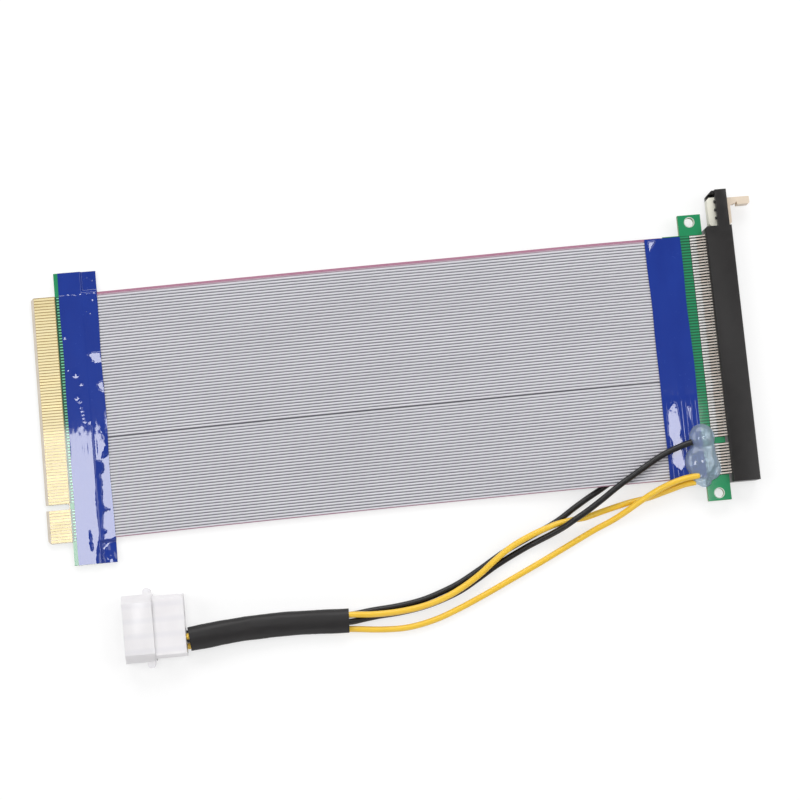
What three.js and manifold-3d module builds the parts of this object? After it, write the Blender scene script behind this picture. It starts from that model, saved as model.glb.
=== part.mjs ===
// A graphics card riser cable, lying flat as it would on a bench.
//
// A card-edge board plugs into a motherboard. Two layers of grey ribbon run from it to a slot
// board, which carries a card socket with a swinging latch. Four wires, glued over their solder
// joints on the slot board, bring power from a four-way plug.
//
// Millimetres, +Z up. X runs along the ribbon, from the card edge (-X) to the socket (+X), and Y
// runs along the two boards. Inside the model, X is counted from the tip of the card edge, Y from
// the middle of its key notch and Z from the bench. The finished group is then moved so that its
// origin is under the middle of the riser without its power lead.

import * as THREE from 'three';
import { mergeGeometries, mergeVertices } from 'three/addons/utils/BufferGeometryUtils.js';
import Module from 'manifold-3d';

const wasm = await Module();
wasm.setup();

// Contacts, the same on the card edge and in the socket
const pitch = 1;
const keyToContact = 1.5;
const shortGroup = 11;
const longGroup = 71;
const edgeMargin = 0.65;

// Clearances
const seatGap = 0.05;
const looseGap = 0.3;
const glueGap = 0.12;

// Circuit boards
const boardThickness = 1.6;
const edgeBoardLift = 0.25;
const tongueDepth = 8.25;
const edgeBoardDepth = 17.2;
const earLength = 7.95;
const notchWidth = 1.9;
const notchDepth = 8;
const tongueCorner = 0.8;
const bevelLength = 1;
const tipThickness = 0.7;
const fingerWidth = 0.7;
const fingerEnd = 8;
const fingerHeight = 0.05;
const slotBoardWidth = 8.1;
const slotEarBelow = 9.2;
const slotEarAbove = 7.8;
const solderTongue = 6;
const solderMargin = 0.7;
const screwHoleDiameter = 3.1;
const screwHoleInset = 2.6;

// How far the slot board sits from the edge board, along and across the ribbon, and how far the
// ribbon bows sideways on its way there
const slotBoardX = 225.2;
const slotShift = 2.6;
const ribbonShift = 2.05;

// Ribbon cable
const wideWays = 50;
const narrowWays = 34;
const wayPitch = 1;
const ribbonThickness = 0.8;
const grooveDepth = 0.32;
const layerGap = 0.15;
const besideGap = 0.25;
const lowerLayerShift = 0.35;
const ribbonMiddle = 0.25;
const settleLength = 22;
const climbLength = 71;
const climbSteps = 4;
const levelLength = 14;

// Tape over the solder joints
const tapeThickness = 0.1;
const edgeTapeStart = 9.7;
const edgeTapeWidth = 12.9;
const slotTapeStart = 12.4;
const slotTapeWidth = 12.5;
const slotTapeMargin = 0.4;
const tapeStep = 0.6;

// Card socket
const socketDepth = 9.4;
const socketHeight = 7.5;
const socketBoardGap = 0.75;
const socketBelowContacts = 3.3;
const socketAboveContacts = 2.7;
const socketChamfer = 0.3;
const socketCorner = 0.6;
const cardSlotWidth = 1.85;
const cardSlotDepth = 8.2;
const cardSlotPlay = 0.35;
const cardKeyWidth = 1.65;
const leadInDepth = 0.8;
const leadInWidth = 3.2;
const tailWidth = 0.5;
const tailThickness = 0.25;
const tailFootLength = 1.5;
const tailFootInset = 3.8;
const tailRise = 0.85;

// Latch tower at the far end of the socket
const towerLength = 12.8;
const towerInset = 0.75;
const towerWidth = 6.2;
const towerChamfer = 1.4;
const towerEndWall = 1.2;
const cheekThickness = 1.7;
const upperCheekWidth = 4;
const cheekToothLength = 0.9;
const cheekToothDepth = 0.55;
const pocketDepth = 1;
const pocketWall = 1.1;

// Latch lever, in the slot between the cheeks
const pivotAboveBody = 3.2;
const pivotFromFront = 3.25;
const pivotRadius = 0.9;
const pivotPlay = 0.1;
const pivotGrip = 1.1;
const leverBehind = 4.2;
const leverBelow = 2.8;
const leverAbove = 7.2;
const leverAhead = 3.9;
const armReach = 10.8;
const armTop = 6.8;
const armThickness = 2.2;
const hookLength = 4.4;
const hookDrop = 0.5;
const hookNotch = 0.7;
const leverCorner = 0.8;

// Hot glue over the power joints. Places are counted from the left edge of the slot board's
// ears and from the socket's key. Each lobe has its middle and its half sizes.
const glueLobes = [
  { x: 0.1, y: 0.8, half: [4.6, 4.5, 2.8] },
  { x: -1, y: -6.9, half: [5.9, 6.4, 2.8] },
  { x: -1.9, y: -11.9, half: [3.2, 2.7, 2.1] },
  { x: 2.2, y: -9.6, half: [3.4, 3.8, 1.3] },
];
const lowerGlueLobe = { x: -1, y: 0.9, half: [5, 5, 2.3] };

// Power wires and sleeve
const wireDiameter = 2.1;
const wireSides = 8;
const wireStep = 5.4;
const sleeveWidth = 8.2;
const sleeveHeight = 4.9;
const sleeveSides = 12;
const sleeveStep = 5;
const outerYellowRoute = [
  [222.6, -9.1, 5.9], [217.6, -9.6, 6.2], [212.9, -10.8, 6.1], [208.5, -12.5, 5.2],
  [205, -14.2, 4.4], [201, -16.4, 3.6], [197.5, -18.5, 2.5], [192, -21.4, 1.3],
  [185.8, -24, 1.1], [176, -28.6, 1.1], [165.5, -33.6, 1.1], [155, -38.4, 1.1],
  [145.3, -42.8, 1.1], [135.7, -46.8, 1.1], [127.8, -49.5, 1.1], [118.5, -51.2, 1.1],
  [110, -51.1, 1.1], [99, -49.9, 1.5],
];
const innerYellowRoute = [
  [221.4, -11.5, 5.4], [217.4, -11.9, 4.9], [214, -12.7, 3.8], [210, -13.6, 2.5],
  [205.4, -14.8, 1.3], [198.3, -15.9, 1.1], [188.7, -18.1, 1.6], [182.4, -19.7, 2.7],
  [178.4, -20.1, 3.2], [173, -20.9, 3.3], [168.7, -22.1, 3.3], [162.3, -24.4, 3.3],
  [155.8, -27.5, 3.3], [150, -31.4, 3.3], [144.3, -35.7, 3.3], [137.7, -39.7, 3.3],
  [131.4, -42.5, 3.3], [124.3, -44.5, 3.3], [115.8, -45.6, 3.4], [107, -45.7, 3.5],
  [99, -45.1, 3.6],
];
const upperBlackRoute = [
  [221.4, 2.6, 6], [217.2, 1.5, 6], [210.8, -0.9, 5.9], [202.4, -5.5, 5.8],
  [194.3, -10.3, 5.7], [188.3, -14.3, 5.6], [182.7, -17.8, 5.5], [178, -20.4, 5.4],
  [174.6, -22.3, 4.8], [170, -24.4, 3.2], [165.5, -26.2, 1.8], [161.4, -27.9, 1.2],
  [151, -32.9, 1.1], [143.8, -37.1, 1.1], [138, -40.3, 1.1], [131.5, -42.8, 1.1],
  [124.3, -44.75, 1.1], [115.8, -45.95, 1.1], [109, -46.4, 1.25], [104, -46.95, 1.7],
  [99, -47.5, 2.5],
];
const lowerBlackRoute = [
  [219.6, 3.3, 1.3], [214, 2.2, 1.1], [208, -0.2, 1.1], [201, -3.8, 1.1],
  [195, -7, 1.1], [189.2, -10.4, 1.1], [184.4, -13, 1.1], [179.6, -15.8, 1.1],
  [172.5, -20.2, 1.1], [163.1, -24.4, 1.1], [154, -28.6, 1.1], [144.1, -34.3, 1.1],
  [136.9, -38.1, 1.1], [130.7, -40.5, 1.1], [123.9, -42.5, 1.1], [115.6, -43.75, 1.1],
  [107, -44.35, 1.1], [99, -45.1, 1.3],
];
const sleeveRoute = [
  [98.7, -47, 2.5], [84.1, -46.2, 2.6], [69.5, -46.1, 3.2], [56.6, -46.9, 4.2],
  [45.2, -48.1, 5.1],
];

// Power plug
const plugMouthX = 23.5;
const plugMiddleY = -43.2;
const plugLength = 20.4;
const shroudLength = 9;
const shroudWidth = 22.6;
const shroudHeight = 10.4;
const shroudChamfer = 2.7;
const shroudWall = 0.9;
const plugBackWidth = 20.9;
const plugBackHeight = 8.8;
const plugBackChamfer = 1.1;
const plugEdge = 0.4;
const mouthDepth = 9.5;
const plugPitch = 5.08;
const plugWays = 4;
const wayBore = 3.5;
const barrelDiameter = 3.2;
const barrelInset = 0.9;
const pinDiameter = 2.1;
const pinRecess = 1.8;
const ribWidth = 2.6;
const ribReach = 2.1;
const ribHeight = 5.2;
const filledWays = { plug_pin_supply: 0, plug_pin_ground_1: 1, plug_pin_ground_2: 2 };

// Places that several pieces share
const lastShort = -(keyToContact + (shortGroup - 1) * pitch);
const lastLong = keyToContact + (longGroup - 1) * pitch;
const tongueLow = lastShort - edgeMargin;
const tongueHigh = lastLong + edgeMargin;
const edgeBoardTop = edgeBoardLift + boardThickness;
const edgeBoardMiddle = edgeBoardLift + boardThickness / 2;
const slotMiddle = socketHeight / 2;
const slotBoardBottom = slotMiddle - boardThickness / 2;
const slotBoardTop = slotMiddle + boardThickness / 2;
const slotBoardLow = slotShift + lastShort - slotEarBelow;
const slotBoardHigh = slotShift + lastLong + slotEarAbove;
const slotBoardRight = slotBoardX + slotBoardWidth;
const solderX = slotBoardX - solderTongue;
const socketX = slotBoardRight + socketBoardGap;
const socketFront = socketX + socketDepth;
const socketLow = slotShift + lastShort - socketBelowContacts;
const socketHigh = slotShift + lastLong + socketAboveContacts;
const towerX = socketFront - towerInset - towerWidth;
const towerFront = socketFront - towerInset;
const towerEnd = socketHigh + towerLength;
const upperCheekX = towerFront - upperCheekWidth;
const cheekTop = socketHeight - cheekThickness;
const pivotX = socketFront - pivotFromFront;
const pivotY = socketHigh + pivotAboveBody;
const tailFootX = socketX - socketBoardGap - tailFootInset;
const tailFootTop = slotBoardTop + seatGap + tailThickness;
const ribbonLift = layerGap / 2 + ribbonThickness;
const ribbonStart = edgeBoardDepth + looseGap;
const ribbonEnd = solderX - looseGap;
const contacts = [];
for (let i = 0; i < shortGroup; i += 1) contacts.push(-keyToContact - i * pitch);
for (let i = 0; i < longGroup; i += 1) contacts.push(keyToContact + i * pitch);

const alongX = new THREE.Vector3(1, 0, 0);
const alongY = new THREE.Vector3(0, 1, 0);
const alongZ = new THREE.Vector3(0, 0, 1);

function outline(points) {
  return new THREE.Shape(points.map(([a, b]) => new THREE.Vector2(a, b)));
}

function extruded(shape, depth) {
  return new THREE.ExtrudeGeometry(shape, { depth, bevelEnabled: false, curveSegments: 10 });
}

// A shape drawn in X and Y, raised from one height to another
function raised(shape, bottom, top) {
  return extruded(shape, top - bottom).translate(0, 0, bottom);
}

// A shape drawn in Y and Z, run along X
function runAlongX(shape, from, to) {
  const turn = new THREE.Matrix4().makeBasis(alongY, alongZ, alongX);
  return extruded(shape, to - from).applyMatrix4(turn).translate(from, 0, 0);
}

// A shape drawn in X and Z, run along Y
function runAlongY(shape, from, to) {
  const turn = new THREE.Matrix4().makeBasis(alongX, alongZ, alongY.clone().negate());
  return extruded(shape, to - from).applyMatrix4(turn).translate(0, to, 0);
}

function block([x0, x1], [y0, y1], [z0, z1]) {
  const box = new THREE.BoxGeometry(x1 - x0, y1 - y0, z1 - z0);
  return box.translate((x0 + x1) / 2, (y0 + y1) / 2, (z0 + z1) / 2);
}

// A rectangle with its four corners cut off, for sections drawn in Y and Z
function cutRectangle([a0, a1], [b0, b1], lowCut, highCut) {
  return outline([
    [a0 + lowCut, b0], [a1 - lowCut, b0], [a1, b0 + lowCut], [a1, b1 - highCut],
    [a1 - highCut, b1], [a0 + highCut, b1], [a0, b1 - highCut], [a0, b0 + lowCut],
  ]);
}

function toSolid(geometry) {
  const bare = geometry.index ? geometry.toNonIndexed() : geometry.clone();
  bare.deleteAttribute('normal');
  bare.deleteAttribute('uv');
  const merged = mergeVertices(bare, 1e-5);
  const vertProperties = new Float32Array(merged.attributes.position.array);
  const triVerts = new Uint32Array(merged.index.array);
  return new wasm.Manifold(new wasm.Mesh({ numProp: 3, vertProperties, triVerts }));
}

function toGeometry(solid) {
  const { vertProperties, triVerts } = solid.getMesh();
  const geometry = new THREE.BufferGeometry();
  geometry.setAttribute('position', new THREE.BufferAttribute(vertProperties, 3));
  geometry.setIndex(new THREE.BufferAttribute(triVerts, 1));
  geometry.computeVertexNormals();
  return geometry;
}

function joined(...geometries) {
  return geometries.map(toSolid).reduce((all, next) => all.add(next));
}

const riser = new THREE.Group();

function addPiece(name, geometry, colour, roughness, metalness = 0) {
  const material = new THREE.MeshStandardMaterial({ color: colour, roughness, metalness });
  const piece = new THREE.Mesh(geometry, material);
  piece.name = name;
  riser.add(piece);
}

const boardGreen = '#1c7a50';
const tapeBlue = '#2a4393';
const socketBlack = '#3b3939';
const latchIvory = '#e8d7c2';
const ribbonGrey = '#a9a9ad';
const glueMilk = '#8d9ca3';
const wireYellow = '#f0c33c';
const wireBlack = '#333335';
const plugWhite = '#ece9ec';
const tinned = '#c9c6bd';

// Card-edge board: a bevelled tongue with its key notch, two ears, and gold fingers on both faces
function edgeBoard() {
  const plan = new THREE.Shape();
  plan.moveTo(tongueCorner, tongueLow);
  plan.lineTo(tongueDepth, tongueLow);
  plan.lineTo(tongueDepth, tongueLow - earLength);
  plan.lineTo(edgeBoardDepth, tongueLow - earLength);
  plan.lineTo(edgeBoardDepth, tongueHigh + earLength);
  plan.lineTo(tongueDepth, tongueHigh + earLength);
  plan.lineTo(tongueDepth, tongueHigh);
  plan.lineTo(tongueCorner, tongueHigh);
  plan.lineTo(0, tongueHigh - tongueCorner);
  plan.lineTo(0, notchWidth / 2);
  plan.lineTo(notchDepth - notchWidth / 2, notchWidth / 2);
  plan.absarc(notchDepth - notchWidth / 2, 0, notchWidth / 2, Math.PI / 2, -Math.PI / 2, true);
  plan.lineTo(0, -notchWidth / 2);
  plan.lineTo(0, tongueLow + tongueCorner);
  const section = outline([
    [0, edgeBoardMiddle - tipThickness / 2], [bevelLength, edgeBoardLift],
    [edgeBoardDepth, edgeBoardLift], [edgeBoardDepth, edgeBoardTop],
    [bevelLength, edgeBoardTop], [0, edgeBoardMiddle + tipThickness / 2],
  ]);
  const board = toSolid(raised(plan, 0, edgeBoardTop + boardThickness)).intersect(
    toSolid(runAlongY(section, tongueLow - earLength - 1, tongueHigh + earLength + 1)),
  );
  const fingers = contacts.map((y) => block(
    [bevelLength + fingerHeight, fingerEnd],
    [y - fingerWidth / 2, y + fingerWidth / 2],
    [edgeBoardLift - fingerHeight, edgeBoardTop + fingerHeight],
  ));
  return toGeometry(board.add(toSolid(mergeGeometries(fingers))));
}

// Slot board: a strip with a screw hole in each end, and a solder tongue under the tape
function slotBoard() {
  const tongueStart = slotShift + lastShort - solderMargin;
  const tongueStop = slotShift + lastLong + solderMargin;
  const plan = outline([
    [slotBoardX, slotBoardLow], [slotBoardRight, slotBoardLow],
    [slotBoardRight, slotBoardHigh], [slotBoardX, slotBoardHigh],
    [slotBoardX, tongueStop], [solderX, tongueStop],
    [solderX, tongueStart], [slotBoardX, tongueStart],
  ]);
  const holeX = slotBoardX + slotBoardWidth / 2;
  for (const y of [slotBoardLow + screwHoleInset, slotBoardHigh - screwHoleInset]) {
    const hole = new THREE.Path();
    hole.absarc(holeX, y, screwHoleDiameter / 2, 0, 2 * Math.PI, true);
    plan.holes.push(hole);
  }
  return raised(plan, slotBoardBottom, slotBoardTop);
}

// One layer of ribbon cable, with a ridge over each wire on its outer face. side is 1 for the
// upper layer and -1 for the lower one. It starts flat behind the edge board, lies on the bench
// and climbs to the slot board.
function ribbon(ways, lowEdge, side) {
  const width = ways * wayPitch;
  const crest = side * ribbonThickness;
  const valley = side * (ribbonThickness - grooveDepth);
  const points = [[0, 0], [width, 0], [width, valley]];
  for (let i = ways - 1; i >= 0; i -= 1) {
    points.push([(i + 0.5) * wayPitch, crest], [i * wayPitch, valley]);
  }
  const climbStart = ribbonEnd - levelLength - climbLength;
  const stations = [[ribbonStart, edgeBoardMiddle], [ribbonStart + settleLength, ribbonLift]];
  for (let i = 0; i <= climbSteps; i += 1) {
    const share = i / climbSteps;
    const eased = share * share * (3 - 2 * share);
    stations.push([
      climbStart + share * climbLength,
      ribbonLift + eased * (slotMiddle - ribbonLift),
    ]);
  }
  stations.push([ribbonEnd, slotMiddle]);
  const steps = stations.length - 1;
  const turn = new THREE.Matrix4().makeBasis(alongY, alongZ, alongX);
  const settings = { depth: steps, steps, bevelEnabled: false };
  const geometry = new THREE.ExtrudeGeometry(outline(points), settings).applyMatrix4(turn);
  const position = geometry.attributes.position;
  for (let i = 0; i < position.count; i += 1) {
    const [x, z] = stations[Math.round(position.getX(i))];
    const left = (ribbonEnd - x) / (ribbonEnd - ribbonStart);
    const drift = ribbonShift * (1 - left * left);
    position.setXYZ(
      i, x, position.getY(i) + lowEdge + drift, position.getZ(i) + z + side * layerGap / 2,
    );
  }
  return geometry;
}

// A strip of tape that lies on a board and steps over the ends of the ribbons. side is 1 for a
// strip on top and -1 for one below. Each run is [from, to, height of what it covers].
function tape(first, second, low, high, side) {
  const [from, turn, firstHeight] = first;
  const [, to, secondHeight] = second;
  const near = [
    [from, firstHeight + side * seatGap], [turn, firstHeight + side * seatGap],
    [turn + tapeStep, secondHeight + side * seatGap], [to, secondHeight + side * seatGap],
  ];
  const far = near.map(([x, z]) => [x, z + side * tapeThickness]).reverse();
  return runAlongY(outline([...near, ...far]), low, high);
}

// Card socket: body, card slot with its key, solder tails and the tower that holds the latch
function slotHousing() {
  const plan = outline([
    [socketX, socketLow], [socketFront, socketLow], [socketFront, socketHigh],
    [towerFront, socketHigh], [towerFront, towerEnd], [towerX + towerChamfer, towerEnd],
    [towerX, towerEnd - towerChamfer], [towerX, socketHigh],
    [socketX + socketCorner, socketHigh], [socketX, socketHigh - socketCorner],
  ]);
  const section = cutRectangle(
    [socketX, socketFront], [0, socketHeight], socketChamfer, socketChamfer,
  );
  let housing = toSolid(raised(plan, 0, socketHeight)).intersect(
    toSolid(runAlongY(section, socketLow, towerEnd)),
  );

  const slotLow = slotShift + tongueLow - cardSlotPlay;
  const slotHigh = slotShift + tongueHigh + cardSlotPlay;
  const slotZ = [slotMiddle - cardSlotWidth / 2, slotMiddle + cardSlotWidth / 2];
  const slotX = [socketFront - cardSlotDepth, socketFront + 1];
  const keySide = cardKeyWidth / 2;
  const lead = leadInWidth / 2;
  const leadIn = outline([
    [socketFront - leadInDepth, slotZ[0]], [socketFront, slotMiddle - lead],
    [socketFront + 1, slotMiddle - lead], [socketFront + 1, slotMiddle + lead],
    [socketFront, slotMiddle + lead], [socketFront - leadInDepth, slotZ[1]],
  ]);
  const pocketX = socketX + pocketWall;
  const pocketEnd = towerEnd - towerEndWall;
  const bore = new THREE.CylinderGeometry(
    pivotRadius + pivotPlay, pivotRadius + pivotPlay,
    socketHeight - 2 * cheekThickness + 2 * (pivotGrip + pivotPlay), 24,
  ).rotateX(Math.PI / 2).translate(pivotX, pivotY, slotMiddle);
  const cuts = [
    block(slotX, [slotLow, slotShift - keySide], slotZ),
    block(slotX, [slotShift + keySide, slotHigh], slotZ),
    runAlongY(leadIn, slotLow, slotHigh),
    block([pocketX, socketFront + 1], [socketHigh - pocketDepth, pocketEnd], [cheekThickness, cheekTop]),
    block([towerX - 1, upperCheekX], [socketHigh, towerEnd + 1], [cheekTop, socketHeight + 1]),
    bore,
  ];
  for (const cut of cuts) housing = housing.subtract(toSolid(cut));

  const teeth = [0.25, 0.5, 0.75].map((share) => {
    const y = socketHigh + share * (towerLength - towerEndWall);
    return block(
      [upperCheekX - cheekToothDepth, upperCheekX + cheekToothDepth],
      [y - cheekToothLength / 2, y + cheekToothLength / 2],
      [cheekTop, cheekTop + cheekThickness / 2],
    );
  });
  const tails = [];
  for (const side of [1, -1]) {
    const foot = slotMiddle + side * (boardThickness / 2 + seatGap);
    const root = foot + side * tailRise;
    const footTop = foot + side * tailThickness;
    const rootTop = root + side * tailThickness;
    const profile = outline([
      [tailFootX, foot], [tailFootX + tailFootLength, foot], [socketX + tailThickness, root],
      [socketX + tailThickness, rootTop], [tailFootX + tailFootLength, footTop],
      [tailFootX, footTop],
    ]);
    for (const contact of contacts) {
      const y = slotShift + contact;
      tails.push(runAlongY(profile, y - tailWidth / 2, y + tailWidth / 2));
    }
  }
  return toGeometry(
    housing.add(toSolid(mergeGeometries(teeth))).add(toSolid(mergeGeometries(tails))),
  );
}

// Latch lever: a plate between the cheeks with moulded pivots, and an arm with a hooked end that
// stands out of the socket's mouth. It swings about Z.
function latchLever() {
  const left = pivotX - leverBehind;
  const right = pivotX + leverAhead;
  const low = pivotY - leverBelow;
  const high = pivotY + leverAbove;
  const tip = pivotX + armReach;
  const top = pivotY + armTop;
  const under = top - armThickness;
  const cut = leverCorner;
  const plate = outline([
    [left + cut, low], [right - cut, low], [right, low + cut], [right, under - cut],
    [right + cut, under], [tip - hookLength - hookNotch, under],
    [tip - hookLength, under + hookNotch], [tip - hookLength, under - hookDrop],
    [tip - cut / 2, under - hookDrop], [tip, under - hookDrop + cut / 2], [tip, top],
    [towerFront + cut, top],
    [towerFront, high], [left + cut, high], [left, high - cut], [left, low + cut],
  ]);
  const bottom = cheekThickness + looseGap;
  const pivot = new THREE.CylinderGeometry(
    pivotRadius, pivotRadius, socketHeight - 2 * (cheekThickness - pivotGrip), 24,
  ).rotateX(Math.PI / 2).translate(pivotX, pivotY, slotMiddle);
  return toGeometry(joined(raised(plate, bottom, socketHeight - bottom), pivot));
}

// A round hole for the end of a wire, as a cutter that runs out along the wire
function wireSocket(route) {
  const end = new THREE.Vector3(...route[0]);
  const out = new THREE.Vector3(...route[1]).sub(end).normalize();
  const reach = 4 * wireDiameter;
  const radius = wireDiameter / 2 + looseGap;
  const turn = new THREE.Quaternion().setFromUnitVectors(alongY, out);
  const cutter = new THREE.CylinderGeometry(radius, radius, reach, 16);
  cutter.translate(0, reach / 2 - looseGap, 0).applyQuaternion(turn);
  return cutter.translate(end.x, end.y, end.z);
}

function lobe({ x, y, half }, z) {
  const ball = new THREE.SphereGeometry(1, 18, 12).rotateX(Math.PI / 2);
  return ball.scale(...half).translate(slotBoardX + x, slotShift + y, z);
}

// Hot glue on top of the slot board. Its underside steps over the tape and the solder tails.
function upperGlue() {
  const base = slotBoardTop + glueGap;
  const tapeTop = slotMiddle + ribbonLift + seatGap + tapeThickness + glueGap;
  const tapeRight = solderX + solderTongue - slotTapeStart + slotTapeWidth + glueGap;
  const wide = 40;
  let glue = joined(...glueLobes.map((one) => lobe(one, base)));
  const unders = [
    block([slotBoardX - wide, slotBoardX + wide], [slotShift - wide, slotShift + wide], [-wide, base]),
    block([slotBoardX - wide, tapeRight], [slotShift - wide, slotShift + wide], [-wide, tapeTop]),
    block(
      [tailFootX - glueGap, slotBoardX + wide], [slotShift - wide, slotShift + wide],
      [-wide, tailFootTop + glueGap],
    ),
  ];
  for (const under of unders) glue = glue.subtract(toSolid(under));
  for (const route of [outerYellowRoute, innerYellowRoute, upperBlackRoute]) {
    glue = glue.subtract(toSolid(wireSocket(route)));
  }
  return toGeometry(glue);
}

// Hot glue under the slot board, over the joint of the lower black wire
function lowerGlue() {
  const tapeBottom = slotMiddle - ribbonLift - seatGap - tapeThickness - glueGap;
  const [halfX, halfY] = lowerGlueLobe.half;
  const middleX = slotBoardX + lowerGlueLobe.x;
  const middleY = slotShift + lowerGlueLobe.y;
  const above = block(
    [middleX - 2 * halfX, middleX + 2 * halfX], [middleY - 2 * halfY, middleY + 2 * halfY],
    [tapeBottom, socketHeight],
  );
  const glue = toSolid(lobe(lowerGlueLobe, tapeBottom)).subtract(toSolid(above));
  return toGeometry(glue.subtract(toSolid(wireSocket(lowerBlackRoute))));
}

// A section swept along a route
function swept(route, section, step) {
  const path = new THREE.CatmullRomCurve3(route.map((point) => new THREE.Vector3(...point)));
  const steps = Math.ceil(path.getLength() / step);
  return new THREE.ExtrudeGeometry(section, { steps, extrudePath: path, bevelEnabled: false });
}

function oval(width, height, sides) {
  const points = [];
  for (let i = 0; i < sides; i += 1) {
    const angle = 2 * Math.PI * i / sides;
    points.push([width / 2 * Math.cos(angle), height / 2 * Math.sin(angle)]);
  }
  return outline(points);
}

function wire(route) {
  return swept(route, oval(wireDiameter, wireDiameter, wireSides), wireStep);
}

function wayY(way) {
  return plugMiddleY + (way - (plugWays - 1) / 2) * plugPitch;
}

// Power plug housing: a shroud with two cut corners round the pins, and a back with four bores
function plugHousing() {
  const middleZ = shroudHeight / 2;
  const side = shroudWidth / 2;
  const backSide = plugBackWidth / 2;
  const stepX = plugMouthX + shroudLength;
  const back = plugMouthX + plugLength;
  const shroud = cutRectangle(
    [plugMiddleY - side, plugMiddleY + side], [0, shroudHeight], plugEdge, shroudChamfer,
  );
  const rear = cutRectangle(
    [plugMiddleY - backSide, plugMiddleY + backSide],
    [middleZ - plugBackHeight / 2, middleZ + plugBackHeight / 2], plugEdge, plugBackChamfer,
  );
  const mouth = cutRectangle(
    [plugMiddleY - side + shroudWall, plugMiddleY + side - shroudWall],
    [shroudWall, shroudHeight - shroudWall], plugEdge, shroudChamfer - shroudWall / 3,
  );
  const ribX = stepX - ribWidth / 4;
  const ribs = [1, -1].map((way) => {
    const plan = new THREE.Shape();
    const root = plugMiddleY + way * (backSide - shroudWall);
    const round = plugMiddleY + way * (side + ribReach - ribWidth / 2);
    plan.moveTo(ribX - ribWidth / 2, root);
    plan.lineTo(ribX - ribWidth / 2, round);
    plan.absarc(ribX, round, ribWidth / 2, Math.PI, 0, way > 0);
    plan.lineTo(ribX + ribWidth / 2, root);
    return raised(plan, middleZ - ribHeight / 2, middleZ + ribHeight / 2);
  });
  let housing = joined(
    runAlongX(shroud, plugMouthX, stepX + 1), runAlongX(rear, stepX, back), ...ribs,
  );
  housing = housing.subtract(toSolid(runAlongX(mouth, plugMouthX - 1, plugMouthX + mouthDepth)));
  for (let way = 0; way < plugWays; way += 1) {
    const bore = new THREE.CylinderGeometry(wayBore / 2, wayBore / 2, plugLength, 20);
    bore.rotateZ(Math.PI / 2).translate(back + 1 - plugLength / 2, wayY(way), middleZ);
    housing = housing.subtract(toSolid(bore));
  }
  return toGeometry(housing);
}

// Pin contact: a round pin in the shroud and a wider barrel in its bore
function plugPin(way) {
  const tip = plugMouthX + pinRecess;
  const shoulder = plugMouthX + mouthDepth + barrelInset;
  const end = plugMouthX + plugLength - barrelInset;
  const radius = pinDiameter / 2;
  const profile = [
    [0, 0], [radius / 2, 0], [radius, radius], [radius, shoulder - tip],
    [barrelDiameter / 2, shoulder - tip], [barrelDiameter / 2, end - tip], [0, end - tip],
  ].map(([r, along]) => new THREE.Vector2(r, along));
  const turned = new THREE.LatheGeometry(profile, 16).rotateZ(-Math.PI / 2);
  return turned.translate(tip, wayY(way), shroudHeight / 2);
}

addPiece('edge_board', edgeBoard(), boardGreen, 0.45);
addPiece('slot_board', slotBoard(), boardGreen, 0.45);

const fieldLow = ribbonMiddle + (lastShort + lastLong - wideWays - narrowWays - besideGap) / 2;
for (const [layer, side] of [['upper', 1], ['lower', -1]]) {
  const lowEdge = side > 0 ? fieldLow : fieldLow + lowerLayerShift;
  const narrow = ribbon(narrowWays, lowEdge, side);
  const wide = ribbon(wideWays, lowEdge + narrowWays * wayPitch + besideGap, side);
  addPiece(`ribbon_narrow_${layer}`, narrow, ribbonGrey, 0.6);
  addPiece(`ribbon_wide_${layer}`, wide, ribbonGrey, 0.6);

  const edgeSurface = edgeBoardMiddle + side * boardThickness / 2;
  const edgeTape = tape(
    [edgeTapeStart, edgeBoardDepth, edgeSurface],
    [edgeBoardDepth, edgeTapeStart + edgeTapeWidth, edgeBoardMiddle + side * ribbonLift],
    tongueLow - earLength, tongueHigh + earLength, side,
  );
  addPiece(`edge_tape_${layer}`, edgeTape, tapeBlue, 0.25);

  const slotSurface = slotMiddle + side * boardThickness / 2;
  const slotTapeX = slotBoardX - slotTapeStart;
  const slotTape = tape(
    [slotTapeX, ribbonEnd, slotMiddle + side * ribbonLift],
    [ribbonEnd, slotTapeX + slotTapeWidth, slotSurface],
    slotShift + lastShort - solderMargin - slotTapeMargin,
    slotShift + lastLong + solderMargin - slotTapeMargin, side,
  );
  addPiece(`slot_tape_${layer}`, slotTape, tapeBlue, 0.25);
}

addPiece('slot_housing', slotHousing(), socketBlack, 0.55);
addPiece('latch_lever', latchLever(), latchIvory, 0.5);
addPiece('glue_upper', upperGlue(), glueMilk, 0.3);
addPiece('glue_lower', lowerGlue(), glueMilk, 0.3);
addPiece('wire_yellow_outer', wire(outerYellowRoute), wireYellow, 0.45);
addPiece('wire_yellow_inner', wire(innerYellowRoute), wireYellow, 0.45);
addPiece('wire_black_upper', wire(upperBlackRoute), wireBlack, 0.45);
addPiece('wire_black_lower', wire(lowerBlackRoute), wireBlack, 0.45);
const sleeveSection = oval(sleeveHeight, sleeveWidth, sleeveSides);
addPiece('sleeve', swept(sleeveRoute, sleeveSection, sleeveStep), wireBlack, 0.6);
addPiece('plug_housing', plugHousing(), plugWhite, 0.35);
for (const [name, way] of Object.entries(filledWays)) addPiece(name, plugPin(way), tinned, 0.3, 0.9);

const leverTip = pivotX + armReach;
riser.position.set(-leverTip / 2, -(tongueLow - earLength + towerEnd) / 2, 0);

export default riser;
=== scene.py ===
"""A graphics card riser cable on a pale bench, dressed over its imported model."""

import math

import bmesh
import bpy
from mathutils import Matrix, Vector, noise


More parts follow.
